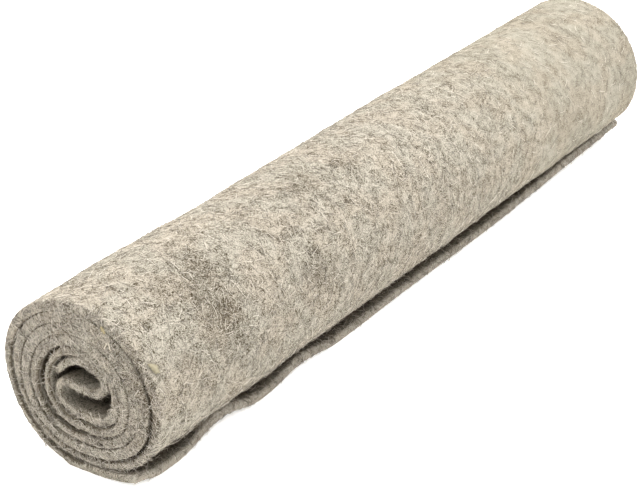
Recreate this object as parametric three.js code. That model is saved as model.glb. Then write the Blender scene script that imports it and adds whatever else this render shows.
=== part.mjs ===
// A roll of wool felt: one cut sheet wound about five and a half times, lying on its loose end.
// Millimetres, +Z up. The roll lies along X and rests on z = 0. Lengths along it are measured from
// the near end, which is at -X. Hours are those of a clock face seen from there: 3 o'clock is -Y.
import * as THREE from 'three';

// Driving sizes
const ROLL_LENGTH = 300;
const AXIS_Y = 0.82;
const AXIS_Z = 26;
const FELT_THICKNESS = 2.75;

// The winding at six hours of the clock, from the outer face of the first turn inwards.
// radius: outer face of the first turn. pitch: from one turn to the next. hollow: the open crescent
// under the fourth turn. felt and coreFelt: thickness outside and inside that crescent.
const CLOCK = [
  { hour: 0, radius: 27.3, pitch: 3.43, hollow: 0.0, felt: 3.05, coreFelt: 3.0 },
  { hour: 2, radius: 28.0, pitch: 3.43, hollow: 0.0, felt: 3.05, coreFelt: 3.05 },
  { hour: 4, radius: 27.9, pitch: 3.47, hollow: 0.0, felt: 3.05, coreFelt: 3.05 },
  { hour: 6, radius: 26.0, pitch: 3.07, hollow: 1.0, felt: 2.7, coreFelt: 2.7 },
  { hour: 8, radius: 25.5, pitch: 2.62, hollow: 2.35, felt: 2.25, coreFelt: 2.2 },
  { hour: 10, radius: 27.5, pitch: 3.45, hollow: 1.25, felt: 3.0, coreFelt: 2.0 },
];
const HOURS_PER_TURN = 12;
const START_HOUR = 6;
const HOLLOW_FROM_TURNS = 3 + 5 / 6;
const SPIRAL_END_TURNS = 5 + 1 / 6;

// Each turn climbs over the one below in the last fifth of its way, above the loose end.
const CLIMB_FROM = 0.8;

// The flat spot reaches this far into the first turn. What is lower than the first height is
// pressed to the floor, and above the second one nothing is moved.
const FLAT_SPOT_TURNS = 0.025;
const PRESSED_BELOW = 0.5;
const ROUND_ABOVE = 1.35;

// The inner end turns back on itself: middle line of the felt in the core, a row for each bend.
const CORE_FOLD = [
  { y: 8.8, z: 23.4, felt: 2.35 },
  { y: 8.05, z: 25.75, felt: 2.45 },
  { y: 5.4, z: 26.65, felt: 2.55 },
  { y: 0.5, z: 26.0, felt: 2.65 },
  { y: -4.5, z: 26.1, felt: 2.65 },
  { y: -7.2, z: 27.9, felt: 2.65 },
  { y: -7.4, z: 30.4, felt: 2.65 },
  { y: -5.7, z: 32.5, felt: 2.65 },
  { y: -3.1, z: 34.0, felt: 2.65 },
  { y: 0.3, z: 34.7, felt: 2.6 },
  { y: 4.1, z: 33.65, felt: 2.5 },
  { y: 7.4, z: 31.35, felt: 2.25 },
  { y: 9.4, z: 28.7, felt: 1.85 },
];
const CORE_FOLD_LEAD = 3;

// The loose end lies on the floor at the front, and lifts off it in waves along the roll.
const LOOSE_END_Y = -19.2;
const LOOSE_END_WAVES = [
  { at: 0, height: 2.7, reach: 12 },
  { at: 40, height: 4.2, reach: 21 },
  { at: 83, height: 2.4, reach: 19 },
  { at: 157, height: 0.7, reach: 57 },
  { at: 300, height: 3.5, reach: 140 },
];
const WAVE_SHARPNESS = 3;

// Swells and waists along the roll, as a share of its size.
const SWELLS = [
  { at: 38, share: 0.008, reach: 32 },
  { at: 78, share: -0.011, reach: 26 },
  { at: 190, share: 0.006, reach: 60 },
];

// How far the turns stand back from the outermost one at the two ends.
const CORE_SET_BACK = 1.3;
const TURN_SET_BACK = 0.35;

// Facets
const STEPS_PER_TURN = 24;
const LOOSE_END_STEPS = 9;
const CORE_FOLD_STEPS = 30;
const STEPS_ALONG = 16;
const STEPS_CROWDING = 1.45;

function smoothStep(low, high, value) {
  const t = Math.min(1, Math.max(0, (value - low) / (high - low)));
  return t * t * (3 - 2 * t);
}

function bump(x, row) {
  const away = Math.abs(x - row.at) / row.reach;
  return away < 1 ? Math.cos((Math.PI / 2) * away) ** 2 : 0;
}

// One column of the clock table at any hour, on a smooth closed curve through its rows.
function atHour(hours, column) {
  const count = CLOCK.length;
  const place = ((hours / HOURS_PER_TURN) % 1) * count;
  const row = Math.floor(place);
  const t = place - row;
  const [a, b, c, d] = [-1, 0, 1, 2].map((step) => CLOCK[(row + step + count) % count][column]);
  return b + 0.5 * t * (c - a + t * (2 * a - 5 * b + 4 * c - d + t * (3 * (b - c) + d - a)));
}

// The two faces of the felt at a place on the spiral, counted in turns from 6 o'clock.
function spiralStation(turns) {
  const hours = START_HOUR + HOURS_PER_TURN * turns;
  const whole = Math.floor(turns);
  const climbed = whole + smoothStep(CLIMB_FROM, 1, turns - whole);
  const inCore = turns >= HOLLOW_FROM_TURNS;
  const hollow = inCore ? Math.max(0, atHour(hours, 'hollow')) : 0;
  const outer = atHour(hours, 'radius') - climbed * atHour(hours, 'pitch') - hollow;
  const inner = outer - atHour(hours, inCore ? 'coreFelt' : 'felt');
  const angle = (hours / HOURS_PER_TURN) * 2 * Math.PI;
  const onFace = (radius) => new THREE.Vector2(
    AXIS_Y - radius * Math.sin(angle),
    AXIS_Z + radius * Math.cos(angle),
  );
  return { outer: pressFlat(onFace(outer)), inner: onFace(inner), turns, loose: 0 };
}

function pressFlat(point) {
  point.y *= smoothStep(PRESSED_BELOW, ROUND_ABOVE, point.y);
  return point;
}

// The loose end before it lifts: flat on the floor, from its cut edge to 6 o'clock.
function looseEndStations() {
  const stations = [];
  for (let step = 0; step < LOOSE_END_STEPS; step += 1) {
    const share = 1 - step / LOOSE_END_STEPS;
    const y = AXIS_Y + share * (LOOSE_END_Y - AXIS_Y);
    stations.push({ outer: new THREE.Vector2(y, 0), turns: 0, loose: share });
  }
  return stations;
}

function spiralStations() {
  const count = Math.round(SPIRAL_END_TURNS * STEPS_PER_TURN);
  const turns = Array.from({ length: count + 1 }, (_, step) => step / STEPS_PER_TURN);
  turns.splice(1, 0, FLAT_SPOT_TURNS);
  return turns.map(spiralStation);
}

function middleRow({ outer, inner }) {
  return { y: (outer.x + inner.x) / 2, z: (outer.y + inner.y) / 2, felt: outer.distanceTo(inner) };
}

// The folded inner end, on a smooth curve that carries on from the last stations of the spiral.
function coreFoldStations(spiral) {
  const rows = [...spiral.slice(-CORE_FOLD_LEAD).map(middleRow), ...CORE_FOLD];
  const points = rows.map((row) => new THREE.Vector3(row.y, row.z, 0));
  const curve = new THREE.CatmullRomCurve3(points, false, 'centripetal');
  const joint = (CORE_FOLD_LEAD - 1) / (rows.length - 1);
  return Array.from({ length: CORE_FOLD_STEPS }, (_, step) => {
    const share = (step + 1) / CORE_FOLD_STEPS;
    const t = joint + (1 - joint) * share;
    const middle = curve.getPoint(t);
    const along = curve.getTangent(t);
    const place = t * (rows.length - 1);
    const row = Math.min(rows.length - 2, Math.floor(place));
    const felt = THREE.MathUtils.lerp(rows[row].felt, rows[row + 1].felt, place - row);
    const outwards = new THREE.Vector2(along.y, -along.x).multiplyScalar(felt / 2);
    const at = new THREE.Vector2(middle.x, middle.y);
    return {
      outer: at.clone().add(outwards),
      inner: at.clone().sub(outwards),
      turns: SPIRAL_END_TURNS + share,
      loose: 0,
    };
  });
}

// How far along X a station starts or stops, measured inwards from the end of the roll.
function setBack(turns) {
  const wave = TURN_SET_BACK * (0.5 - 0.5 * Math.cos(Math.PI * turns));
  return wave + CORE_SET_BACK * smoothStep(HOLLOW_FROM_TURNS, SPIRAL_END_TURNS + 1, turns);
}

function waveHeight(x) {
  return LOOSE_END_WAVES.reduce((height, row) => height + row.height * bump(x, row), 0);
}

function swell(x) {
  return SWELLS.reduce((share, row) => share + row.share * bump(x, row), 1);
}

// A point of the section at a share of the roll's length, lifted and swelled as it is there.
function placed(station, face, share) {
  const back = setBack(station.turns);
  const x = back + share * (ROLL_LENGTH - 2 * back);
  const point = station.loose > 0 ? liftedPoint(station, face, x) : station[face];
  const size = swell(x);
  return [x, AXIS_Y + (point.x - AXIS_Y) * size, point.y * size];
}

// The loose end curls up by the wave's height at its cut edge, and keeps its thickness.
function liftedPoint(station, face, x) {
  const wave = waveHeight(x);
  const point = station.outer.clone();
  point.y += wave * station.loose ** WAVE_SHARPNESS;
  if (face === 'inner') {
    const slope = (wave * WAVE_SHARPNESS * station.loose ** (WAVE_SHARPNESS - 1))
      / (AXIS_Y - LOOSE_END_Y);
    point.add(new THREE.Vector2(slope, 1).setLength(FELT_THICKNESS));
  }
  return point;
}

// One closed skin over the stations: outer and inner faces, both cut ends and both long edges.
function feltGeometry(stations) {
  const columns = stations.length;
  const positions = [];
  for (let step = 0; step <= STEPS_ALONG; step += 1) {
    const share = crowded(step / STEPS_ALONG);
    for (const face of ['outer', 'inner']) {
      for (const station of stations) {
        positions.push(...placed(station, face, share));
      }
    }
  }
  const index = [];
  const vertex = (step, face, column) => (step * 2 + face) * columns + column;
  const quad = (a, b, c, d) => index.push(a, b, c, a, c, d);
  for (let step = 0; step < STEPS_ALONG; step += 1) {
    for (let column = 0; column < columns - 1; column += 1) {
      const next = column + 1;
      quad(vertex(step, 0, column), vertex(step, 0, next),
        vertex(step + 1, 0, next), vertex(step + 1, 0, column));
      quad(vertex(step, 1, column), vertex(step + 1, 1, column),
        vertex(step + 1, 1, next), vertex(step, 1, next));
    }
    quad(vertex(step, 0, 0), vertex(step + 1, 0, 0), vertex(step + 1, 1, 0), vertex(step, 1, 0));
    const last = columns - 1;
    quad(vertex(step, 0, last), vertex(step, 1, last),
      vertex(step + 1, 1, last), vertex(step + 1, 0, last));
  }
  for (let column = 0; column < columns - 1; column += 1) {
    const next = column + 1;
    quad(vertex(0, 0, column), vertex(0, 1, column), vertex(0, 1, next), vertex(0, 0, next));
    quad(vertex(STEPS_ALONG, 0, column), vertex(STEPS_ALONG, 0, next),
      vertex(STEPS_ALONG, 1, next), vertex(STEPS_ALONG, 1, column));
  }
  const geometry = new THREE.BufferGeometry();
  geometry.setAttribute('position', new THREE.Float32BufferAttribute(positions, 3));
  geometry.setIndex(index);
  geometry.computeVertexNormals();
  return geometry;
}

// Shares of the length, closer together near the first end, where the waves are short.
function crowded(share) {
  return share ** STEPS_CROWDING;
}

function feltSheet() {
  const spiral = spiralStations();
  const stations = [...looseEndStations(), ...spiral, ...coreFoldStations(spiral)];
  const felt = new THREE.MeshStandardMaterial({ color: '#b3a899', roughness: 0.95, metalness: 0 });
  const mesh = new THREE.Mesh(feltGeometry(stations), felt);
  mesh.name = 'felt_sheet';
  mesh.position.x = -ROLL_LENGTH / 2;
  return mesh;
}

const roll = new THREE.Group();
roll.add(feltSheet());

export default roll;
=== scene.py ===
# Roll of heathered wool felt on a pale studio floor.
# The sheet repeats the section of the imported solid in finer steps, with soft cut edges, and gets
# its loose fibres from Geometry Nodes. Sizes are millimetres until a mesh is made.
import math

import bmesh
import bpy
import numpy as np
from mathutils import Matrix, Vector, noise


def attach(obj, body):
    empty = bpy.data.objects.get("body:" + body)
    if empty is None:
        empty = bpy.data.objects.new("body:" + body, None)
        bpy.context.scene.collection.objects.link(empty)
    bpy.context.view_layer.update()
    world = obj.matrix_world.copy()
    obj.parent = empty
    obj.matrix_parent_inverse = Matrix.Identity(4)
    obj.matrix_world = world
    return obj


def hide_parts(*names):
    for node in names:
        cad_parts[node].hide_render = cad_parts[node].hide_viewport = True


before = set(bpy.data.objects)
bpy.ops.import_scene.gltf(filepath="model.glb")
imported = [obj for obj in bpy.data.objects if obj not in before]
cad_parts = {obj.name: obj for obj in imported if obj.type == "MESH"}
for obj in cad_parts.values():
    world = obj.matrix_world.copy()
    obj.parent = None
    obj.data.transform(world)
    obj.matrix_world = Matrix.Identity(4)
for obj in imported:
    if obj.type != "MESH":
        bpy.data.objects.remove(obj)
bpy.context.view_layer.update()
mm = 0.001


# Small helpers
def smoothStep(low, high, value):
    t = min(1.0, max(0.0, (value - low) / (high - low)))
    return t * t * (3 - 2 * t)


def bump(x, at, reach):
    away = abs(x - at) / reach
    return math.cos(math.pi / 2 * away) ** 2 if away < 1 else 0.0


def toLinear(hexColour):
    channels = [int(hexColour[i:i + 2], 16) / 255 for i in (1, 3, 5)]
    linear = [c / 12.92 if c <= 0.04045 else ((c + 0.055) / 1.055) ** 2.4 for c in channels]
    return (*linear, 1.0)


def setInputs(tree, node, inputs):
    for key, value in inputs.items():
        if isinstance(value, bpy.types.NodeSocket):
            tree.links.new(value, node.inputs[key])
        else:
            node.inputs[key].default_value = value


def addNode(tree, kind, settings=None, inputs=None):
    node = tree.nodes.new(kind)
    for name, value in (settings or {}).items():
        setattr(node, name, value)
    setInputs(tree, node, inputs or {})
    return node


def addMaterial(name):
    material = bpy.data.materials.new(name)
    material.use_nodes = True
    return material, material.node_tree, material.node_tree.nodes["Principled BSDF"]


def addObject(name, data):
    thing = bpy.data.objects.new(name, data)
    bpy.context.collection.objects.link(thing)
    return thing


def calculate(tree, operation, a, b):
    return addNode(tree, "ShaderNodeMath", {"operation": operation}, {0: a, 1: b}).outputs[0]


def setRamp(ramp, stops):
    while len(ramp.color_ramp.elements) < len(stops):
        ramp.color_ramp.elements.new(0.5)
    for element, (place, colour) in zip(ramp.color_ramp.elements, stops):
        element.position = place
        element.color = toLinear(colour)


# Camera
cameraView = {
    "place": (-507.6, -314.3, 301.2),  # mm from the middle of the roll's underside
    "looks": (0.7515, 0.4935, -0.4380),
    "lens": 111.1, "sensor": 36,  # mm
    "seesFrom": 0.01, "seesTo": 20,  # m
}


def makeCamera():
    data = bpy.data.cameras.new("camera")
    data.sensor_width = cameraView["sensor"]
    data.lens = cameraView["lens"]
    data.clip_start = cameraView["seesFrom"]
    data.clip_end = cameraView["seesTo"]
    camera = addObject("camera", data)
    camera.location = Vector(cameraView["place"]) * mm
    camera.rotation_euler = Vector(cameraView["looks"]).to_track_quat("-Z", "Y").to_euler()
    bpy.context.scene.camera = camera
    print("camera placed")


makeCamera()


# The felt sheet. Hours are a clock's on the near end, and turns are counted from 6 o'clock inwards.
feltRoll = {
    "length": 300,
    "axisY": 0.82, "axisZ": 26,
    "looseEndY": -19.2, "looseFelt": 2.75,
    "hollowFrom": 3 + 5 / 6, "spiralEnd": 5 + 1 / 6,  # turns
    "climbFrom": 0.8,  # the share of a turn from which it moves in to the next one's radius
    "pressedBelow": 0.5, "roundAbove": 1.35,  # the underside is pressed flat on the floor
    "waveSharpness": 3,  # how near its edge the loose end curls up
    "turnSetBack": 0.35, "coreSetBack": 1.3,  # how far turns and core lie in from the ends
    "farReach": 2.0,  # the first turn stands out at the far end, and the loose end's corner
    "cornerReach": 3.0,  # stands out further and lifts
    "cornerLift": 1.0,
    "farFrom": 0.8,  # the share of the length from which they stand out
    "farTurns": 0.75,  # the turns after which the first turn's reach fades
    "seenTurns": 1.02,  # the outermost turn, whose outer face shows
    "deepestCorner": 0.45,  # a cut edge's corner, at most, as a share of the felt's thickness
    "otherFace": 400,  # mm on the felt's map from the outer to the inner side
    "cutEnd": 2.8,  # mm on the felt's map across a cut end
    "mapMargin": 20,  # mm past the length, from where a place on the map is on the inner side
    "stepsPerTurn": 66,
    "looseSteps": 18,  # each step is longer than the edge's rounding
    "coreSteps": 56,
    "leadPerTurn": 24,  # steps in which the spiral leads into the core
    "stepsAlong": 84,
    "nearCrowding": 1.3,  # above 1, the steps are closer together at the near end
    "cornerDegrees": (0, 30, 60, 90),  # steps round a cut edge's corner
}

# The outer radius of the first turn, the distance between turns, the hollow, the core's felt, and
# how far the lines between the cut edges show: at the top the wool is matted over them
clock = [
    {"hour": 0, "radius": 27.3, "pitch": 3.43, "hollow": 0.0, "coreFelt": 3.0, "seam": 0.14},
    {"hour": 2, "radius": 28.0, "pitch": 3.43, "hollow": 0.0, "coreFelt": 3.05, "seam": 0.3},
    {"hour": 4, "radius": 27.9, "pitch": 3.47, "hollow": 0.0, "coreFelt": 3.05, "seam": 0.5},
    {"hour": 6, "radius": 26.0, "pitch": 3.07, "hollow": 1.0, "coreFelt": 2.7, "seam": 0.75},
    {"hour": 8, "radius": 25.5, "pitch": 2.62, "hollow": 2.35, "coreFelt": 2.2, "seam": 1.0},
    {"hour": 10, "radius": 27.5, "pitch": 3.45, "hollow": 1.25, "coreFelt": 2.0, "seam": 0.7},
]

# How open the line under each turn is, and how round its cut edges are: the outer turns stand
# apart but for the top, the inner ones close up and their edges mat together
edgeRows = [
    {"turns": 0.0, "line": 0.60, "rounding": 1.00},
    {"turns": 0.3, "line": 0.60, "rounding": 0.90},
    {"turns": 0.4, "line": 0.25, "rounding": 0.45},
    {"turns": 0.5, "line": 0.06, "rounding": 0.12},
    {"turns": 0.6, "line": 0.20, "rounding": 0.30},
    {"turns": 0.68, "line": 0.70, "rounding": 1.10},
    {"turns": 0.9, "line": 0.80, "rounding": 1.20},
    {"turns": 1.05, "line": 0.60, "rounding": 0.90},
    {"turns": 1.3, "line": 0.40, "rounding": 0.80},
    {"turns": 1.45, "line": 0.10, "rounding": 0.30},
    {"turns": 1.8, "line": 0.16, "rounding": 0.50},
    {"turns": 2.4, "line": 0.10, "rounding": 0.40},
    {"turns": 2.9, "line": 0.12, "rounding": 1.10},
    {"turns": 4.3, "line": 0.12, "rounding": 1.10},
    {"turns": 5.0, "line": 0.12, "rounding": 0.60},
    {"turns": 6.2, "line": 0.12, "rounding": 0.45},
]

# Where the inner turns' cut edges mat together, in turns, so that their lines come and go
matting = {
    "from": 0.9, "full": 1.5, "fading": 3.5, "gone": 3.9,
    "leastSeam": 0.1,
    "plainSeam": 0.3,  # how much the clock's seam counts where nothing is matted
    "perTurn": 9,  # how quickly a line comes and goes
}

# The middle line of the felt where its inner end turns back on itself
coreFold = [
    {"y": 8.8, "z": 23.4, "felt": 2.35},
    {"y": 8.05, "z": 25.75, "felt": 2.45},
    {"y": 5.4, "z": 26.65, "felt": 2.55},
    {"y": 0.5, "z": 26.0, "felt": 2.65},
    {"y": -4.5, "z": 26.1, "felt": 2.65},
    {"y": -7.2, "z": 27.9, "felt": 2.65},
    {"y": -7.4, "z": 30.4, "felt": 2.65},
    {"y": -5.7, "z": 32.5, "felt": 2.65},
    {"y": -3.1, "z": 34.0, "felt": 2.65},
    {"y": 0.3, "z": 34.7, "felt": 2.6},
    {"y": 4.1, "z": 33.65, "felt": 2.5},
    {"y": 7.4, "z": 31.35, "felt": 2.25},
    {"y": 9.4, "z": 28.7, "felt": 1.85},
]

# Where the loose end lifts off the floor, and where the roll swells, along its length
looseWaves = [
    {"at": 0, "height": 2.7, "reach": 12},
    {"at": 40, "height": 4.2, "reach": 21},
    {"at": 83, "height": 2.4, "reach": 19},
    {"at": 157, "height": 0.7, "reach": 57},
    {"at": 300, "height": 3.5, "reach": 140},
]
swells = [
    {"at": 38, "share": 0.008, "reach": 32},
    {"at": 78, "share": -0.011, "reach": 26},
    {"at": 190, "share": 0.006, "reach": 60},
]

# Soft valleys pressed round the seen side, listed: x at the first and at the last hour
valleys = [
    {"from": 40.0, "to": 33.5, "firstHour": 0.0, "lastHour": 4.0, "depth": 0.8, "reach": 8.5},
    {"from": 96.0, "to": 104.0, "firstHour": 0.5, "lastHour": 3.6, "depth": 0.2, "reach": 12.0},
]
# How a valley begins and ends, as shares of the way from its first to its last hour
valleyEnds = {"from": -0.15, "full": 0.2, "fading": 0.8, "gone": 1.15}

# Darker patches on the seen side, listed: partly darker wool, partly painted shade in the pressed valleys
darkPatches = [
    {"x": 35, "hour": 1.6, "reachX": 23, "reachHours": 2.0, "share": 0.55},
    {"x": 42, "hour": 0.8, "reachX": 7, "reachHours": 0.8, "share": 0.6},
    {"x": 38, "hour": 2.1, "reachX": 5, "reachHours": 1.1, "share": 0.7},
    {"x": 82, "hour": 2.2, "reachX": 11, "reachHours": 0.8, "share": 0.6},
    {"x": 100, "hour": 0.5, "reachX": 13, "reachHours": 0.8, "share": 0.5},
    {"x": 122, "hour": 0.7, "reachX": 10, "reachHours": 0.6, "share": 0.5},
]

# Unevenness of the felt: height and size of each kind
unevenness = {
    "softHeight": 0.3, "softSize": 14.0,
    "lumpHeight": 0.1, "lumpSize": 3.4,
    "raggedHeight": 0.16, "raggedSize": 1.3, "raggedReach": 3,  # on the cut ends
    "driftHeight": 0.4, "driftSize": 30.0, "driftReach": 8,  # the cut wanders off a straight line
    "cutBack": 0.3,  # and lies this far in
    "hiddenSoft": 0.2, "hiddenMove": 0.3,  # shares between the turns, so that they stay apart
    "floorClear": 2.0,  # mm above the floor from which all of it shows
}

# Darker wool on the cut ends, right of the core, and painted light along the loose edge, which is made
# paler
rimWoolAndPaintedEdgeLight = {
    "hour": 2.6, "reachHours": 2.2, "share": 0.75,
    "from": 0.3, "full": 0.8, "fading": 2.2, "gone": 3.2,  # turns
    "looseFrom": 0.8, "paintedLightOnLooseEdge": -1.0,
}

# Painted shade: how strongly the wool's colour is darkened in the gaps, where it lies in shadow,
# and over which mm from a cut end, turns, or shares of the loose end it grows
gapShade = {
    "corner": 0.9, "cornerRounding": 0.9,  # on a cut edge's corner, in full from this rounding
    "hollow": 0.75, "hollowFull": 1.5,
    "loose": 0.7, "looseOpening": 0.8, "looseOpen": 0.99,
    "groundFrom": 0.2, "groundFull": 2.4,  # on the loose end, and on the first turn above it
    "coveredFrom": 0.86, "coveredFull": 0.94,
    "core": 0.7, "coreFull": 9.0,  # some light falls into the core's openings
    "turnFrom": -0.6, "turnFull": 1.6,
}

# Where loose fibres grow: in mm above the floor, and fewer of them along shares of the length
fibreGrowth = {
    "floorClear": 2.0, "floorFull": 4.5, "looseCutAbove": 1.2,
    "fewer": 0.7, "fewerFrom": 0.45, "fewestFrom": 0.8,
}


def atHour(hours, column):
    place = hours / 12 % 1 * len(clock)
    row = int(place)
    t = place - row
    a, b, c, d = [clock[(row + step) % len(clock)][column] for step in (-1, 0, 1, 2)]
    return b + 0.5 * t * (c - a + t * (2 * a - 5 * b + 4 * c - d + t * (3 * (b - c) + d - a)))


def edgeRow(turns, column):
    plain = float(np.interp(turns, [row["turns"] for row in edgeRows], [row[column] for row in edgeRows]))
    if column != "rounding":
        return plain
    m = matting
    matted = smoothStep(m["from"], m["full"], turns) * (1 - smoothStep(m["fading"], m["gone"], turns))
    counts = m["plainSeam"] + (1 - m["plainSeam"]) * matted
    seam = max(m["leastSeam"], atHour(6 + 12 * turns, "seam")) ** counts
    return plain * seam * (1 + matted * noise.noise(Vector((turns * m["perTurn"], 5, 2))))


def spiralStation(turns):
    hours = 6 + 12 * turns
    whole = math.floor(turns + 1e-9)
    climbed = whole + smoothStep(feltRoll["climbFrom"], 1, turns - whole)
    inCore = turns >= feltRoll["hollowFrom"]
    hollow = max(0.0, atHour(hours, "hollow")) if inCore else 0.0
    outer = atHour(hours, "radius") - climbed * atHour(hours, "pitch") - hollow
    felt = atHour(hours, "coreFelt") if inCore else atHour(hours, "pitch") - edgeRow(turns, "line")
    angle = hours / 12 * 2 * math.pi
    spoke = np.array([-math.sin(angle), math.cos(angle)])
    centre = np.array([feltRoll["axisY"], feltRoll["axisZ"]])
    outerPoint = centre + outer * spoke
    outerPoint[1] *= smoothStep(feltRoll["pressedBelow"], feltRoll["roundAbove"], outerPoint[1])
    return {"outer": outerPoint, "inner": centre + (outer - felt) * spoke, "turns": turns, "loose": 0.0}


def looseStations():
    reach = feltRoll["looseEndY"] - feltRoll["axisY"]
    shares = [1 - step / feltRoll["looseSteps"] for step in range(feltRoll["looseSteps"])]
    return [{"outer": np.array([feltRoll["axisY"] + share * reach, 0.0]),
             "inner": np.array([feltRoll["axisY"] + share * reach, feltRoll["looseFelt"]]),
             "turns": 0.0, "loose": share} for share in shares]


# A smooth curve through the core's points, evened out for their unequal distances
def foldPoint(points, place):
    i = min(int(place), len(points) - 2)
    w = place - i
    p1, p2 = points[i], points[i + 1]
    p0 = points[i - 1] if i > 0 else 2 * p1 - p2
    p3 = points[i + 2] if i + 2 < len(points) else 2 * p2 - p1
    d0, d1, d2 = [np.linalg.norm(b - a) ** 0.5 for a, b in ((p0, p1), (p1, p2), (p2, p3))]
    t1 = ((p1 - p0) / d0 - (p2 - p0) / (d0 + d1) + (p2 - p1) / d1) * d1
    t2 = ((p2 - p1) / d1 - (p3 - p1) / (d1 + d2) + (p3 - p2) / d2) * d1
    return (p1 + t1 * w + (3 * (p2 - p1) - 2 * t1 - t2) * w ** 2
            + (2 * (p1 - p2) + t1 + t2) * w ** 3)


def coreStations():
    lead = [spiralStation(feltRoll["spiralEnd"] - back / feltRoll["leadPerTurn"]) for back in (2, 1, 0)]
    points = [(s["outer"] + s["inner"]) / 2 for s in lead]
    points += [np.array([row["y"], row["z"]]) for row in coreFold]
    felts = [np.linalg.norm(s["outer"] - s["inner"]) for s in lead] + [row["felt"] for row in coreFold]
    last = len(points) - 1
    aside = 0.02  # the fold's direction is taken between two places this far off
    stations = []
    for step in range(feltRoll["coreSteps"]):
        share = (step + 1) / feltRoll["coreSteps"]
        place = 2 + share * (last - 2)
        middle = foldPoint(points, place)
        along = foldPoint(points, min(place + aside, last)) - foldPoint(points, place - aside)
        outwards = np.array([along[1], -along[0]]) / np.linalg.norm(along)
        half = np.interp(place, range(last + 1), felts) / 2
        stations.append({"outer": middle + outwards * half, "inner": middle - outwards * half,
                         "turns": feltRoll["spiralEnd"] + share, "loose": 0.0})
    return stations


# Extra stations that round off the felt's first and last edge. On the loose end each also takes
# its own share of the way out, so that the edge lifts smoothly.
def roundedEdge(station, neighbour):
    ahead = (station["outer"] + station["inner"] - neighbour["outer"] - neighbour["inner"]) / 2
    ahead = ahead / np.linalg.norm(ahead)
    across = station["inner"] - station["outer"]
    across = across / np.linalg.norm(across)
    radius = edgeRow(station["turns"], "rounding")
    rounded = []
    for degrees in feltRoll["cornerDegrees"]:
        turn = math.radians(degrees)
        sink = across * radius * (1 - math.cos(turn))
        move = ahead * radius * (math.sin(turn) - 1)
        wayOut = 1 + move[0] / (feltRoll["looseEndY"] - feltRoll["axisY"])
        loose = wayOut if station["loose"] > 0 else 0.0
        rounded.append({**station, "outer": station["outer"] + move + sink,
                        "inner": station["inner"] + move - sink, "loose": loose})
    return rounded


def sectionStations():
    count = round(feltRoll["spiralEnd"] * feltRoll["stepsPerTurn"])
    spiral = [spiralStation(step / feltRoll["stepsPerTurn"]) for step in range(count + 1)]
    stations = looseStations() + spiral + coreStations()
    first = roundedEdge(stations[0], stations[1])[::-1]
    last = roundedEdge(stations[-1], stations[-2])
    return first + stations[1:-1] + last


def setBack(turns):
    wave = feltRoll["turnSetBack"] * (0.5 - 0.5 * math.cos(math.pi * turns))
    sunk = smoothStep(feltRoll["hollowFrom"], feltRoll["spiralEnd"] + 1, turns)
    return wave + feltRoll["coreSetBack"] * sunk


# The loose end curls up by the wave's height at its cut edge
def lifted(station, point, x):
    wave = sum(row["height"] * bump(x, row["at"], row["reach"]) for row in looseWaves)
    sharp = feltRoll["waveSharpness"]
    slope = wave * sharp * station["loose"] ** (sharp - 1) / (feltRoll["axisY"] - feltRoll["looseEndY"])
    away = np.array([slope, 1.0]) / math.hypot(slope, 1.0)
    return np.array([point[0], wave * station["loose"] ** sharp]) + away * point[1]


# One ring round the sheet at a station, as (part, share along, inset, sink, depth), with inset
# and sink as shares of the edge's rounding. It runs along the outer face, across the far end,
# back along the inner face and across the near end.
def ringPlan():
    steps = feltRoll["stepsAlong"]
    turns = [math.radians(degrees) for degrees in feltRoll["cornerDegrees"][1:]]
    corner = [(1 - math.sin(turn), 1 - math.cos(turn)) for turn in turns]
    shares = [(step / steps) ** feltRoll["nearCrowding"] for step in range(steps + 1)]
    across = [(inset, sink, 0) for inset, sink in corner] + [(0.0, 0.0, 0.5)]
    across += [(inset, -sink, 1) for inset, sink in corner[::-1]]
    plan = [("face", share, 1.0, 0.0, 0) for share in shares]
    plan += [("far", 1.0, inset, sink, depth) for inset, sink, depth in across]
    plan += [("face", share, 1.0, 0.0, 1) for share in shares[::-1]]
    plan += [("near", 0.0, inset, -sink, 1 - depth) for inset, sink, depth in across]
    return plan, len(shares), len(across)


def feltPoint(station, share, inset, sink, depth):
    rounding = edgeRow(station["turns"], "rounding")
    back = setBack(station["turns"]) + inset * rounding
    x = back + share * (feltRoll["length"] - 2 * back)
    across = station["inner"] - station["outer"]
    felt = np.linalg.norm(across)
    across = across / felt
    corner = min(rounding, feltRoll["deepestCorner"] * felt)
    point = station["outer"] + across * (depth * felt + sink * corner)
    if station["loose"] > 0:
        point = lifted(station, point, x)
    size = 1 + sum(row["share"] * bump(x, row["at"], row["reach"]) for row in swells)
    y = feltRoll["axisY"] + (point[0] - feltRoll["axisY"]) * size
    atFar = smoothStep(feltRoll["farFrom"], 1.0, x / feltRoll["length"])
    firstTurn = 1 - smoothStep(feltRoll["farTurns"], 1.0, station["turns"])
    x += atFar * (feltRoll["farReach"] * firstTurn + feltRoll["cornerReach"] * station["loose"])
    z = point[1] * size + feltRoll["cornerLift"] * atFar * station["loose"] ** feltRoll["waveSharpness"]
    return x, y, z, across


# The hour from -3 at the back, over 0 at the top and 3 on the seen side, to 9
def seenHour(station):
    return (9 + 12 * station["turns"]) % 12 - 3


# How far the valleys press the outermost turn in
def valleyDepth(station, x):
    hour, ends = seenHour(station), valleyEnds
    pressed = 0.0
    for row in valleys:
        share = (hour - row["firstHour"]) / (row["lastHour"] - row["firstHour"])
        fade = smoothStep(ends["from"], ends["full"], share)
        fade *= 1 - smoothStep(ends["fading"], ends["gone"], share)
        at = row["from"] + share * (row["to"] - row["from"])
        pressed += row["depth"] * fade * bump(x, at, row["reach"])
    return pressed


# Darker wool on the seen side, and painted shade where the valleys press the felt in
def darkWoolAndValleyShadeAt(station, x):
    if station["loose"] > 0:
        return 0.0
    hour = seenHour(station)
    return min(1.0, sum(row["share"] * bump(x, row["x"], row["reachX"]) *
                        bump(hour, row["hour"], row["reachHours"]) for row in darkPatches))


# Darker wool on the rims right of the core, and painted light on the loose edge's cut
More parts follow.
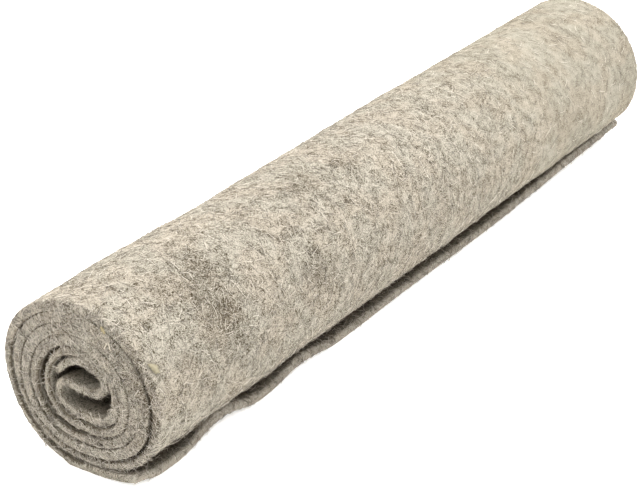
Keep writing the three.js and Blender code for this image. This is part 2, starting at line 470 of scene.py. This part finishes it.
def darkRimWoolAndPaintedEdgeLight(station):
    w, turns = rimWoolAndPaintedEdgeLight, station["turns"]
    if station["loose"] > 0:
        # painted light: the loose edge's cut is made paler, since little light reaches it under the roll
        return w["paintedLightOnLooseEdge"] * smoothStep(w["looseFrom"], 1.0, station["loose"])
    outerTurns = smoothStep(w["from"], w["full"], turns) * (1 - smoothStep(w["fading"], w["gone"], turns))
    return w["share"] * bump(seenHour(station), w["hour"], w["reachHours"]) * outerTurns


# Painted shade: 0 where the felt lies open, up to 1 deep inside a gap, where the wool always lies in
# shadow
def depthInGap(station, part, sink, depth, fromRim):
    g, turns = gapShade, station["turns"]
    if part != "face":
        # a rim's rounded corner goes down into the line beside it, so it gets painted shade
        liesOpen = depth == 0.5 or station["loose"] > 0 or (depth == 0 and turns <= 1)
        rounded = min(1.0, edgeRow(turns, "rounding") / g["cornerRounding"])
        return 0.0 if liesOpen else g["corner"] * (1 - abs(sink)) * rounded
    if depth == 0 and feltRoll["hollowFrom"] <= turns <= feltRoll["hollowFrom"] + 1:
        return g["hollow"] + (1 - g["hollow"]) * smoothStep(0.0, g["hollowFull"], fromRim)
    ground = smoothStep(g["groundFrom"], g["groundFull"], fromRim)
    if station["loose"] > 0:
        openTop = smoothStep(g["looseOpening"], g["looseOpen"], station["loose"]) if depth == 1 else 1.0
        return g["loose"] * ground * (1 - openTop)
    if depth == 0 and turns <= 1:
        return ground * smoothStep(g["coveredFrom"], g["coveredFull"], turns)
    if turns > feltRoll["spiralEnd"] - depth:
        return g["core"] * smoothStep(0.0, g["coreFull"], fromRim)
    return smoothStep(g["turnFrom"], g["turnFull"], fromRim)


# New x, and how far the surface is moved outwards. A rim and the faces beside it move together.
# The whole numbers in the vectors only take each kind from another part of the noise.
def unevenAt(x, y, z, fromRim, path, height):
    u = unevenness
    spot = Vector((x, y, z))
    soft = noise.noise(spot / u["softSize"]) * u["softHeight"] * height
    lump = noise.noise(spot / u["lumpSize"] + Vector((9, 4, 2))) * u["lumpHeight"]
    outwards = 1 if x > feltRoll["length"] / 2 else -1
    drift = noise.noise(Vector((path / u["driftSize"], outwards * 3, 3))) * u["driftHeight"]
    ragged = noise.noise(Vector((outwards * 9, y, z)) / u["raggedSize"]) * u["raggedHeight"]
    moveX = ((drift - u["cutBack"]) * (1 - smoothStep(0, u["driftReach"], fromRim))
             + ragged * (1 - smoothStep(0, u["raggedReach"], fromRim)))
    return x + outwards * moveX, (soft + lump) * smoothStep(0.0, u["floorClear"], z)


# How much a point carries of the fibres, the painted shade, and the darker wool, which also
# carries painted valley shade and painted light on the loose edge
def woolShares(station, part, depth, x, z, deep, seenFace, onEdge):
    g = fibreGrowth
    offFloor = smoothStep(g["floorClear"], g["floorFull"], z)
    onFace = 1 - g["fewer"] * smoothStep(g["fewerFrom"], g["fewestFrom"], x / feltRoll["length"])
    onRim = offFloor * (1 - deep) if part != "face" else 0.0
    looseTop = station["loose"] > 0 and depth == 1 and part == "face"
    darkWoolAndPaintedLight = darkWoolAndValleyShadeAt(station, x) if seenFace else 0.0
    return {"faceShare": onFace if looseTop else onFace * offFloor if seenFace else 0.0,
            "rimShare": 1.0 if onEdge and z > g["looseCutAbove"] else onRim,
            "deep": deep,
            "darkWoolAndPaintedLight": darkRimWoolAndPaintedEdgeLight(station) if onEdge or part != "face" else darkWoolAndPaintedLight}


def makeFeltMesh():
    stations = sectionStations()
    plan, faceCount, endCount = ringPlan()
    ring = len(plan)
    middles = [(s["outer"] + s["inner"]) / 2 for s in stations]
    paths = np.cumsum([0.0] + [float(np.linalg.norm(b - a)) for a, b in zip(middles, middles[1:])])
    verts, maps, alongs, shares = [], [], [], {}
    for i, station in enumerate(stations):
        ahead = middles[min(i + 1, len(stations) - 1)] - middles[max(i - 1, 0)]
        ahead = ahead / np.linalg.norm(ahead)
        onEdge = i < len(feltRoll["cornerDegrees"])
        for part, share, inset, sink, depth in plan:
            x, y, z, across = feltPoint(station, share, inset, sink, depth)
            seenFace = station["turns"] <= feltRoll["seenTurns"] and part == "face" and depth == 0
            fromRim = min(share, 1 - share) * feltRoll["length"]
            height = 1.0 if seenFace else unevenness["hiddenSoft"]
            newX, moved = unevenAt(x, y, z, fromRim, paths[i], height)
            if seenFace and station["loose"] == 0:
                moved -= valleyDepth(station, x)
            elif not seenFace:
                moved *= unevenness["hiddenMove"]
            push = across * (-moved if depth < 0.5 else moved)
            verts.append(((newX - feltRoll["length"] / 2) * mm, (y + push[0]) * mm,
                          max(0.0, z + push[1]) * mm))
            # the map carries on over a cut end, by the depth in the felt
            overEnd = {"face": 0, "far": 1, "near": -1}[part] * depth * feltRoll["cutEnd"]
            otherFace = feltRoll["otherFace"] if part == "face" and depth == 1 else 0
            maps.append((paths[i], x + overEnd + otherFace))
            alongs.append((0.0, ahead[0], ahead[1]))
            deep = depthInGap(station, part, sink, depth, fromRim)
            here = woolShares(station, part, depth, x, z, deep, seenFace, onEdge)
            for name, value in here.items():
                shares.setdefault(name, []).append(value)
    faces = sheetFaces(len(stations), ring)
    faces += closedEdge(0, ring, faceCount, endCount)
    faces += closedEdge((len(stations) - 1) * ring, ring, faceCount, endCount)
    mesh = bpy.data.meshes.new("felt_sheet_cloth")
    mesh.from_pydata(verts, [], faces)
    mesh.update()
    keepAttributes(mesh, maps, alongs, shares)
    turnOutwards(mesh)
    mesh.polygons.foreach_set("use_smooth", [True] * len(mesh.polygons))
    print("felt sheet:", len(mesh.polygons), "faces, flat length", round(float(paths[-1])), "mm")
    return mesh


# The faces between the rings of neighbouring stations
def sheetFaces(count, ring):
    faces = []
    for i in range(count - 1):
        for j in range(ring):
            k = (j + 1) % ring
            faces.append((i * ring + j, i * ring + k, (i + 1) * ring + k, (i + 1) * ring + j))
    return faces


# The strip that closes the ring at the first or last station, from its outer to its inner half
def closedEdge(start, ring, faceCount, endCount):
    half = endCount // 2
    nearMiddle = ring - half - 1
    outerHalf = list(range(nearMiddle, ring)) + list(range(faceCount + half + 1))
    innerHalf = [nearMiddle - step for step in range(len(outerHalf))]
    faces = []
    for j in range(len(outerHalf) - 1):
        corners = [outerHalf[j], outerHalf[j + 1], innerHalf[j + 1], innerHalf[j]]
        faces.append(tuple(dict.fromkeys(start + corner for corner in corners)))
    return faces


def keepAttributes(mesh, maps, alongs, shares):
    layer = mesh.uv_layers.new(name="feltMap")
    corners = np.empty(len(mesh.loops), dtype=np.int32)
    mesh.loops.foreach_get("vertex_index", corners)
    placed = np.array(maps, dtype=np.float32)[corners]
    # a face that joins both sides of the felt takes the outer side's map, so that none is stretched
    starts = np.empty(len(mesh.polygons), dtype=np.int32)
    mesh.polygons.foreach_get("loop_start", starts)
    spans = np.maximum.reduceat(placed[:, 1], starts) - np.minimum.reduceat(placed[:, 1], starts)
    joins = np.repeat(spans > feltRoll["otherFace"] / 2, np.diff(np.append(starts, len(corners))))
    moved = joins & (placed[:, 1] > feltRoll["length"] + feltRoll["mapMargin"])
    placed[moved] -= (feltRoll["looseFelt"], feltRoll["otherFace"])
    layer.data.foreach_set("uv", placed.ravel())
    along = mesh.attributes.new("alongFelt", "FLOAT_VECTOR", "POINT")
    along.data.foreach_set("vector", np.array(alongs, dtype=np.float32).ravel())
    for name, values in shares.items():
        attribute = mesh.attributes.new(name, "FLOAT", "POINT")
        attribute.data.foreach_set("value", np.array(values, dtype=np.float32))


def turnOutwards(mesh):
    work = bmesh.new()
    work.from_mesh(mesh)
    bmesh.ops.recalc_face_normals(work, faces=work.faces)
    work.to_mesh(mesh)
    work.free()


# Wool felt: short fibres of several natural fleece colours, matted at random by felting. The eye
# gets fine curly hairs, most of them pale with darker ones between, faint clouds, and no gloss.
feltFinish = {
    "dark": "#332c23", "shade": "#6b6458", "body": "#8c877a", "light": "#a19b8f",
    "darkAt": 0.05, "shadeAt": 0.4, "bodyAt": 0.62, "lightAt": 1.0,  # their tones
    # painted shade: the colour that the gaps' darkening goes towards
    "gap": "#63533d",
    "hairLong": 2.0, "hairWide": 0.62,  # mm between drawn hairs, coarser than wool's 0.03 mm, to show
    "hairEdge": 0.055,  # how wide a hair is drawn, as a share of its noise
    "hairDetail": 1.5, "hairCurl": 1.5,
    "grain": 0.38, "cloudSize": 3.6, "driftSize": 24.0,
    "paleWeight": 0.32, "darkWeight": -0.62, "grainWeight": 0.85,  # of the fine part
    "fineStart": 0.22, "fineMiddle": 0.385,  # what it starts from, and about its middle value
    "cloudWeight": 0.34, "driftWeight": 0.24, "patchWeight": -0.36, "plainTone": 0.285,
    "gatherFrom": 0.36, "gatherTo": 0.62,  # clouds between which dark hairs go from most to fewest
    "mostDark": 1.2, "fewestDark": 0.75, "patchDark": 0.5,
    "strongUntil": 150.0, "faintFrom": 235.0,  # mm: the heather is stronger in the near half
    "strong": 1.35, "faint": 0.3,
    "warmTint": "#fffcfa", "coolTint": "#fcfdfd", "tintSize": 13.0,  # fleeces of two faint casts
    "coolUntil": 0.42, "warmFrom": 0.6,
    "roughness": 0.95, "sheen": 0.08, "sheenRoughness": 0.6, "sheenTint": "#d8c8a8",
    "bumpHeight": 0.22, "bumpStrength": 0.6,
}

# Directions of the drawn hairs, in degrees off the way round the roll
paleHairs = [14, -38, 66, -80]
darkHairs = [40, -12, 88, -58]


# Thin curly lines, where a stretched noise passes its middle value. The number moves each
# direction's lines to another place in the noise.
def hairs(tree, feltMap, degrees, number):
    turned = addNode(tree, "ShaderNodeMapping", {"vector_type": "POINT"},
                     {0: feltMap, 1: (number * 3.7, number * 1.9, 0), 2: (0, 0, math.radians(degrees))})
    sizes = (1 / feltFinish["hairLong"], 1 / feltFinish["hairWide"], 1)
    sized = addNode(tree, "ShaderNodeVectorMath", {"operation": "MULTIPLY"},
                    {0: turned.outputs[0], 1: sizes})
    wool = addNode(tree, "ShaderNodeTexNoise", {"noise_dimensions": "2D"},
                   {"Vector": sized.outputs[0], "Scale": 1.0, "Detail": feltFinish["hairDetail"],
                    "Distortion": feltFinish["hairCurl"]})
    away = calculate(tree, "ABSOLUTE", calculate(tree, "SUBTRACT", wool.outputs[0], 0.5), 0.0)
    return addNode(tree, "ShaderNodeMapRange", {"clamp": True},
                   {0: away, 1: 0.0, 2: feltFinish["hairEdge"], 3: 1.0, 4: 0.0}).outputs[0]


def allHairs(tree, feltMap, angles, first):
    together = 0.0
    for number, degrees in enumerate(angles):
        together = calculate(tree, "ADD", hairs(tree, feltMap, degrees, first + number), together)
    return together


def clouds(tree, feltMap, size, detail):
    sized = addNode(tree, "ShaderNodeVectorMath", {"operation": "SCALE"}, {0: feltMap, "Scale": 1 / size})
    return addNode(tree, "ShaderNodeTexNoise", {"noise_dimensions": "2D"},
                   {"Vector": sized.outputs[0], "Scale": 1.0, "Detail": detail}).outputs[0]


def addedUp(tree, start, parts):
    together = start
    for value, weight in parts:
        together = calculate(tree, "ADD", calculate(tree, "MULTIPLY", value, weight), together)
    return together


# From dark to pale wool: the fine part of hairs and grain, then clouds, drift and dark patches,
# which also carry painted valley shade and painted light on the loose edge
def feltTone(tree, feltMap, pale):
    f = feltFinish
    cloud = clouds(tree, feltMap, f["cloudSize"], 3.0)
    drift = clouds(tree, feltMap, f["driftSize"], 2.0)
    grain = clouds(tree, feltMap, f["grain"], 1.0)
    # the darker wool's attribute also carries painted shade in the valleys and painted light on the loose
    # edge
    patches = addNode(tree, "ShaderNodeAttribute", {"attribute_name": "darkWoolAndPaintedLight"}).outputs["Fac"]
    # dark hairs gather in the clouds and in the listed patches
    gathered = addNode(tree, "ShaderNodeMapRange", {"clamp": True},
                       {0: cloud, 1: f["gatherFrom"], 2: f["gatherTo"],
                        3: f["mostDark"], 4: f["fewestDark"]}).outputs[0]
    gathered = addedUp(tree, gathered, [(patches, f["patchDark"])])
    dark = calculate(tree, "MULTIPLY", allHairs(tree, feltMap, darkHairs, 11), gathered)
    fine = addedUp(tree, f["fineStart"], [(pale, f["paleWeight"]), (dark, f["darkWeight"]),
                                          (grain, f["grainWeight"])])
    # it fades about its middle value, so that the tone stays
    fine = calculate(tree, "SUBTRACT", fine, f["fineMiddle"])
    mapX = addNode(tree, "ShaderNodeSeparateXYZ", inputs={0: feltMap}).outputs[1]
    fromEnd = calculate(tree, "MODULO", mapX, float(feltRoll["otherFace"]))
    strength = addNode(tree, "ShaderNodeMapRange", {"clamp": True},
                       {0: fromEnd, 1: f["strongUntil"], 2: f["faintFrom"],
                        3: f["strong"], 4: f["faint"]}).outputs[0]
    return addedUp(tree, f["plainTone"], [(fine, strength), (cloud, f["cloudWeight"]),
                                          (drift, f["driftWeight"]), (patches, f["patchWeight"])])


def feltTint(tree, feltMap):
    f = feltFinish
    cast = addNode(tree, "ShaderNodeMapRange", {"clamp": True},
                   {0: clouds(tree, feltMap, f["tintSize"], 3.0),
                    1: f["coolUntil"], 2: f["warmFrom"], 3: 0.0, 4: 1.0})
    return addNode(tree, "ShaderNodeMix", {"data_type": "RGBA"},
                   {0: cast.outputs[0], 6: toLinear(f["coolTint"]), 7: toLinear(f["warmTint"])}).outputs[2]


def multiplied(tree, share, colour, by):
    return addNode(tree, "ShaderNodeMix", {"data_type": "RGBA", "blend_type": "MULTIPLY"},
                   {0: share, 6: colour, 7: by}).outputs[2]


def makeFeltMaterial():
    f = feltFinish
    material, tree, shader = addMaterial("heathered wool felt")
    feltMap = addNode(tree, "ShaderNodeUVMap", {"uv_map": "feltMap"}).outputs[0]
    pale = allHairs(tree, feltMap, paleHairs, 1)
    ramp = addNode(tree, "ShaderNodeValToRGB", inputs={0: feltTone(tree, feltMap, pale)})
    setRamp(ramp, [(f[name + "At"], f[name]) for name in ("dark", "shade", "body", "light")])
    tinted = multiplied(tree, 1.0, ramp.outputs[0], feltTint(tree, feltMap))
    # painted shade: the deep attribute darkens the base colour towards the gap colour in the gaps
    deep = addNode(tree, "ShaderNodeAttribute", {"attribute_name": "deep"}).outputs["Fac"]
    relief = addNode(tree, "ShaderNodeBump", inputs={
        "Strength": f["bumpStrength"], "Height": pale, "Distance": f["bumpHeight"] * mm})
    setInputs(tree, shader, {
        "Base Color": multiplied(tree, deep, tinted, toLinear(f["gap"])), "Normal": relief.outputs[0],
        "Roughness": f["roughness"], "Specular IOR Level": 0.0, "Sheen Weight": f["sheen"],
        "Sheen Roughness": f["sheenRoughness"], "Sheen Tint": toLinear(f["sheenTint"])})
    return material


# Single wool fibres: matt, each in one fleece colour from dark brown to cream
fibreFinish = {
    "colours": [(0.0, "#2f2921"), (0.25, "#5c5348"), (0.5, "#8a8174"), (0.75, "#aea597"),
                (1.0, "#ccc4b6")],
    "roughness": 0.9, "sheen": 0.2, "gloss": 0.15,
}


def makeFibreMaterial():
    material, tree, shader = addMaterial("loose wool fibre")
    tint = addNode(tree, "ShaderNodeAttribute", {"attribute_name": "fibreTint"}).outputs["Fac"]
    ramp = addNode(tree, "ShaderNodeValToRGB", inputs={0: tint})
    setRamp(ramp, fibreFinish["colours"])
    setInputs(tree, shader, {
        "Base Color": ramp.outputs[0], "Roughness": fibreFinish["roughness"],
        "Sheen Weight": fibreFinish["sheen"], "Specular IOR Level": fibreFinish["gloss"]})
    return material


# Loose fibres. share names the attribute that says where they grow, turn and lift are degrees,
# and a real fibre's radius of 0.015 mm is drawn about four times as coarse, or it would not show.
fibreKinds = {
    "pale_fibres": {"share": "faceShare", "count": 7500, "length": (1.4, 4.6), "radius": 0.062,
                    "turn": 90, "lift": 14, "curl": 2.0, "tint": (0.55, 0.95), "seed": 3},
    "dark_fibres": {"share": "faceShare", "count": 7000, "length": (1.2, 3.8), "radius": 0.06,
                    "turn": 90, "lift": 5, "curl": 1.8, "tint": (0.0, 0.4), "seed": 11},
    "edge_fibres": {"share": "rimShare", "count": 6000, "length": (1.0, 4.0), "radius": 0.052,
                    "turn": 90, "lift": 16, "curl": 1.8, "tint": (0.45, 0.95), "seed": 23},
    "dark_edge_fibres": {"share": "rimShare", "count": 6000, "length": (0.9, 3.2), "radius": 0.055,
                         "turn": 90, "lift": 10, "curl": 1.5, "tint": (0.0, 0.4), "seed": 31},
    "long_hairs": {"share": "faceShare", "count": 420, "length": (4.5, 9.0), "radius": 0.055,
                   "turn": 90, "lift": 2, "curl": 3.0, "tint": (0.0, 1.0), "seed": 47},
}

# One fibre before it is sized, turned and curled: a slight S, 1 long
fibreForm = {
    "start": (-0.5, -0.03, 0), "startHandle": (-0.2, 0.13, 0.02),
    "endHandle": (0.2, -0.12, 0.03), "end": (0.5, 0.05, 0),
    "steps": 4, "sides": 3,
    "curlsPerMetre": 420.0,
}


# A random angle between minus and plus the given one, in radians
def randomAngle(tree, degrees, seed, step):
    limit = calculate(tree, "RADIANS", degrees, 0.0)
    return addNode(tree, "FunctionNodeRandomValue", {"data_type": "FLOAT"},
                   {2: calculate(tree, "MULTIPLY", limit, -1.0), 3: limit,
                    "Seed": calculate(tree, "ADD", seed, step)}).outputs[1]


def randomBetween(tree, low, high, seed, step):
    return addNode(tree, "FunctionNodeRandomValue", {"data_type": "FLOAT"},
                   {2: low, 3: high, "Seed": calculate(tree, "ADD", seed, step)}).outputs[1]


# The rotation turned further about its own axis: 1 is across the fibre, 2 out of the felt
def turnedBy(tree, rotation, axis, angle):
    angles = addNode(tree, "ShaderNodeCombineXYZ", inputs={axis: angle}).outputs[0]
    return addNode(tree, "FunctionNodeRotateRotation", {"rotation_space": "LOCAL"},
                   {0: rotation, 1: angles}).outputs[0]


# Each fibre lies flat on the felt, first along it and then turned and lifted by chance
def layFibres(tree, given):
    share = addNode(tree, "GeometryNodeInputNamedAttribute", {"data_type": "FLOAT"},
                    {"Name": given["Share"]})
    spread = addNode(tree, "GeometryNodeDistributePointsOnFaces", {"distribute_method": "RANDOM"},
                     {"Mesh": given["Geometry"], "Seed": given["Seed"],
                      "Density": calculate(tree, "MULTIPLY", share.outputs[0], given["Density"])})
    along = addNode(tree, "GeometryNodeInputNamedAttribute", {"data_type": "FLOAT_VECTOR"},
                    {"Name": "alongFelt"})
    upright = addNode(tree, "FunctionNodeAlignRotationToVector", {"axis": "Z"},
                      {"Vector": spread.outputs["Normal"]})
    laid = addNode(tree, "FunctionNodeAlignRotationToVector", {"axis": "X", "pivot_axis": "Z"},
                   {"Rotation": upright.outputs[0], "Vector": along.outputs[0]})
    turned = turnedBy(tree, laid.outputs[0], 2, randomAngle(tree, given["Turn"], given["Seed"], 1))
    raised = turnedBy(tree, turned, 1, randomAngle(tree, given["Lift"], given["Seed"], 2))
    bent = addNode(tree, "GeometryNodeCurvePrimitiveBezierSegment", {"mode": "POSITION"},
                   {"Resolution": fibreForm["steps"],
                    "Start": fibreForm["start"], "Start Handle": fibreForm["startHandle"],
                    "End Handle": fibreForm["endHandle"], "End": fibreForm["end"]})
    grown = addNode(tree, "GeometryNodeInstanceOnPoints", inputs={
        "Points": spread.outputs["Points"], "Instance": bent.outputs[0], "Rotation": raised,
        "Scale": randomBetween(tree, given["Shortest"], given["Longest"], given["Seed"], 3)})
    tint = randomBetween(tree, given["Tint Low"], given["Tint High"], given["Seed"], 4)
    tinted = addNode(tree, "GeometryNodeStoreNamedAttribute", {"data_type": "FLOAT", "domain": "INSTANCE"},
                     {0: grown.outputs[0], "Name": "fibreTint", "Value": tint})
    return addNode(tree, "GeometryNodeRealizeInstances", inputs={0: tinted.outputs[0]}).outputs[0]


# A noise bends the fibres, and one that would reach below the floor lies on it instead
def curlFibres(tree, given, fibres):
    wander = addNode(tree, "ShaderNodeTexNoise",
                     inputs={"Scale": fibreForm["curlsPerMetre"], "Detail": 1.0})
    centred = addNode(tree, "ShaderNodeVectorMath", {"operation": "SUBTRACT"},
                      {0: wander.outputs["Color"], 1: (0.5, 0.5, 0.5)})
    offset = addNode(tree, "ShaderNodeVectorMath", {"operation": "SCALE"},
                     {0: centred.outputs[0], "Scale": given["Curl"]})
    curled = addNode(tree, "GeometryNodeSetPosition", inputs={0: fibres, "Offset": offset.outputs[0]})
    position = addNode(tree, "GeometryNodeInputPosition")
    parts = addNode(tree, "ShaderNodeSeparateXYZ", inputs={0: position.outputs[0]}).outputs
    above = addNode(tree, "ShaderNodeCombineXYZ", inputs={
        0: parts[0], 1: parts[1], 2: calculate(tree, "MAXIMUM", parts[2], given["Radius"])})
    return addNode(tree, "GeometryNodeSetPosition", inputs={
        0: curled.outputs[0], "Position": above.outputs[0]}).outputs[0]


def makeFibreTree(material):
    tree = bpy.data.node_groups.new("felt fibres", "GeometryNodeTree")
    sockets = tree.interface
    sockets.new_socket("Geometry", in_out="INPUT", socket_type="NodeSocketGeometry")
    sockets.new_socket("Share", in_out="INPUT", socket_type="NodeSocketString")
    for name in ("Density", "Shortest", "Longest", "Radius", "Turn", "Lift", "Curl",
                 "Tint Low", "Tint High"):
        sockets.new_socket(name, in_out="INPUT", socket_type="NodeSocketFloat")
    sockets.new_socket("Seed", in_out="INPUT", socket_type="NodeSocketInt")
    sockets.new_socket("Geometry", in_out="OUTPUT", socket_type="NodeSocketGeometry")
    given = addNode(tree, "NodeGroupInput").outputs
    resting = curlFibres(tree, given, layFibres(tree, given))
    profile = addNode(tree, "GeometryNodeCurvePrimitiveCircle",
                      inputs={"Resolution": fibreForm["sides"], "Radius": given["Radius"]})
    solid = addNode(tree, "GeometryNodeCurveToMesh", inputs={
        "Curve": resting, "Profile Curve": profile.outputs[0], "Fill Caps": True})
    dyed = addNode(tree, "GeometryNodeSetMaterial", inputs={0: solid.outputs[0], "Material": material})
    addNode(tree, "NodeGroupOutput", inputs={0: dyed.outputs[0]})
    return tree


def sharedArea(mesh, name):
    values = np.empty(len(mesh.vertices), dtype=np.float32)
    mesh.attributes[name].data.foreach_get("value", values)
    return sum(polygon.area * values[list(polygon.vertices)].mean() for polygon in mesh.polygons)


def makeFibres(name, kind, feltMesh, tree):
    carrier = addObject(name + "_carrier", feltMesh)
    modifier = carrier.modifiers.new("fibres", "NODES")
    modifier.node_group = tree
    values = {"Share": kind["share"], "Density": kind["count"] / sharedArea(feltMesh, kind["share"]),
              "Shortest": kind["length"][0] * mm, "Longest": kind["length"][1] * mm,
              "Radius": kind["radius"] * mm, "Turn": float(kind["turn"]), "Lift": float(kind["lift"]),
              "Curl": kind["curl"] * mm, "Tint Low": kind["tint"][0], "Tint High": kind["tint"][1],
              "Seed": kind["seed"]}
    for item in tree.interface.items_tree:
        if item.in_out == "INPUT" and item.name in values:
            modifier[item.identifier] = values[item.name]
    bpy.context.view_layer.update()
    evaluated = carrier.evaluated_get(bpy.context.evaluated_depsgraph_get())
    mesh = bpy.data.meshes.new_from_object(evaluated)
    mesh.name = name
    bpy.data.objects.remove(carrier)
    print(name, len(mesh.polygons), "faces")
    return addObject(name, mesh)


# Flecks caught in the wool, given one by one: place in mm, along the fleck, and out of the felt
flecks = {
    "straw_flecks": {"colour": "#7f7863", "rows": [
        {"place": (-146.8, -24.5, 39.7), "along": (0.62, -0.3, -0.72), "out": (0, -0.86, 0.5),
         "length": 5.2, "width": 2.7},
    ]},
    "bran_flecks": {"colour": "#7c7258", "rows": [
        {"place": (-150.4, -10.0, 48.7), "along": (0.3, 0.8, 0.5), "out": (-0.8, -0.3, 0.5),
         "length": 2.6, "width": 1.6},
    ]},
    "pale_tuft": {"colour": "#c2b8a6", "rows": [
        {"place": (-150.6, -10.9, 44.2), "along": (-0.3, 0.35, -0.9), "out": (-1, 0, 0.2),
         "length": 2.6, "width": 0.4},
        {"place": (-150.6, -12.2, 44.4), "along": (-0.3, -0.45, -0.85), "out": (-1, 0, 0.2),
         "length": 2.4, "width": 0.35},
    ]},
    "dark_burr": {"colour": "#2b2520", "rows": [
        {"place": (-150.5, -7.2, 11.9), "along": (0, 0.9, 0.3), "out": (-1, 0, 0),
         "length": 1.3, "width": 0.8},
    ]},
}


# The form and finish that all flecks share
fleckForm = {
    "steps": 8,
    "width": 0.75, "torn": 0.5, "tornStep": 0.9,  # the width as a share, and how unevenly it is torn
    "tip": 0.004, "bend": 0.25, "halfThick": 0.16,
    "mottleSize": 0.6, "mottle": (0.75, 1.1),
    "roughness": 0.85, "gloss": 0.2,
}


# A thin leaf, pointed at both ends and bent a little
def makeFlecks(name, kind):
    verts, faces = [], []
    form, steps = fleckForm, fleckForm["steps"]
    for row in kind["rows"]:
        along = Vector(row["along"]).normalized()
        side = along.cross(Vector(row["out"])).normalized()
        out = side.cross(along)
        start = len(verts)
        for step in range(steps + 1):
            t = 2 * step / steps - 1
            tear = noise.noise(Vector((step * form["tornStep"], row["length"], row["width"])))
            half = row["width"] / 2 * (form["width"] + form["torn"] * tear)
            half *= math.sqrt(max(form["tip"], 1 - t * t))
            middle = Vector(row["place"]) + along * (row["length"] / 2 * t) - out * (form["bend"] * t * t)
            for sideways, upwards in ((1, 0), (0, 1), (-1, 0), (0, -1)):
                aside = side * half * sideways + out * upwards * form["halfThick"]
                verts.append((middle + aside) * mm)
        for step in range(steps):
            for j in range(4):
                k = (j + 1) % 4
                first, second = start + step * 4, start + step * 4 + 4
                faces.append((first + j, first + k, second + k, second + j))
        faces += [tuple(end + j for j in range(4)) for end in (start, start + 4 * steps)]
    mesh = bpy.data.meshes.new(name)
    mesh.from_pydata(verts, [], faces)
    turnOutwards(mesh)
    mesh.polygons.foreach_set("use_smooth", [True] * len(mesh.polygons))
    mesh.materials.append(makeFleckMaterial(name, kind["colour"]))
    return addObject(name, mesh)


# Dry plant matter or matted wool: matt, with faint mottling from its Object coordinates
def makeFleckMaterial(name, colour):
    material, tree, shader = addMaterial(name.replace("_", " "))
    place = addNode(tree, "ShaderNodeTexCoord").outputs["Object"]
    mottle = addNode(tree, "ShaderNodeTexNoise",
                     inputs={"Vector": place, "Scale": 1 / (fleckForm["mottleSize"] * mm), "Detail": 2.0})
    darkest, palest = fleckForm["mottle"]
    tone = addNode(tree, "ShaderNodeMapRange", {"clamp": True},
                   {0: mottle.outputs[0], 1: 0.3, 2: 0.7, 3: darkest, 4: palest})
    tinted = addNode(tree, "ShaderNodeVectorMath", {"operation": "SCALE"},
                     {0: toLinear(colour)[:3], "Scale": tone.outputs[0]})
    setInputs(tree, shader, {
        "Base Color": tinted.outputs[0], "Roughness": fleckForm["roughness"],
        "Specular IOR Level": fleckForm["gloss"]})
    return material


# Build the roll
felt = addObject("felt_sheet_cloth", makeFeltMesh())
felt.data.materials.append(makeFeltMaterial())
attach(felt, "root")
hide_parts("felt_sheet")

fibreTree = makeFibreTree(makeFibreMaterial())
onFelt = [makeFibres(name, kind, felt.data, fibreTree) for name, kind in fibreKinds.items()]
onFelt += [makeFlecks(name, kind) for name, kind in flecks.items()]
for piece in onFelt:
    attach(piece, "root")
print("roll dressed:", len(onFelt) + 1, "pieces")


# Studio, in metres
studio = {
    "floorSize": 6.0, "floorColour": "#f7f7f6", "floorRoughness": 0.9, "floorGloss": 0.1,
    "floorDrop": 0.0001,  # under the felt, so that the two are never in one plane
    "floorGlow": 0.6,  # the paper is lit from behind, so that shadows on it stay faint
    "skyTop": 2.2, "skyLow": 1.0,  # more light from above than from the sides
    "skyLowUntil": 0.1, "skyTopFrom": 0.75,  # heights on a sky of radius 1
    "keyPlace": (0.0, 0.0, 1.2), "keySize": 1.0, "keyPower": 30.0,
}


def makeFloor():
    half, z = studio["floorSize"] / 2, -studio["floorDrop"]
    mesh = bpy.data.meshes.new("floor")
    mesh.from_pydata([(-half, -half, z), (half, -half, z), (half, half, z), (-half, half, z)],
                     [], [(0, 1, 2, 3)])
    floor = addObject("floor", mesh)
    paper, tree, shader = addMaterial("matt white paper")
    colour = toLinear(studio["floorColour"])
    setInputs(tree, shader, {
        "Base Color": colour, "Emission Color": colour, "Emission Strength": studio["floorGlow"],
        "Roughness": studio["floorRoughness"], "Specular IOR Level": studio["floorGloss"]})
    mesh.materials.append(paper)


def makeLights():
    world = bpy.data.worlds.new("soft studio")
    world.use_nodes = True
    sky = world.node_tree
    background = sky.nodes["Background"]
    upwards = addNode(sky, "ShaderNodeSeparateXYZ",
                      inputs={0: addNode(sky, "ShaderNodeTexCoord").outputs["Generated"]}).outputs[2]
    strength = addNode(sky, "ShaderNodeMapRange", {"interpolation_type": "SMOOTHSTEP"},
                       {0: upwards, 1: studio["skyLowUntil"], 2: studio["skyTopFrom"],
                        3: studio["skyLow"], 4: studio["skyTop"]})
    background.inputs["Color"].default_value = (1.0, 1.0, 1.0, 1.0)
    sky.links.new(strength.outputs[0], background.inputs["Strength"])
    bpy.context.scene.world = world
    lamp = bpy.data.lights.new("softbox", "AREA")
    lamp.size = studio["keySize"]
    lamp.energy = studio["keyPower"]
    key = addObject("softbox", lamp)
    key.location = studio["keyPlace"]
    key.rotation_euler = (-Vector(studio["keyPlace"])).to_track_quat("-Z", "Y").to_euler()
    bpy.context.scene.view_settings.view_transform = "Standard"
    print("studio lit")


makeFloor()
makeLights()
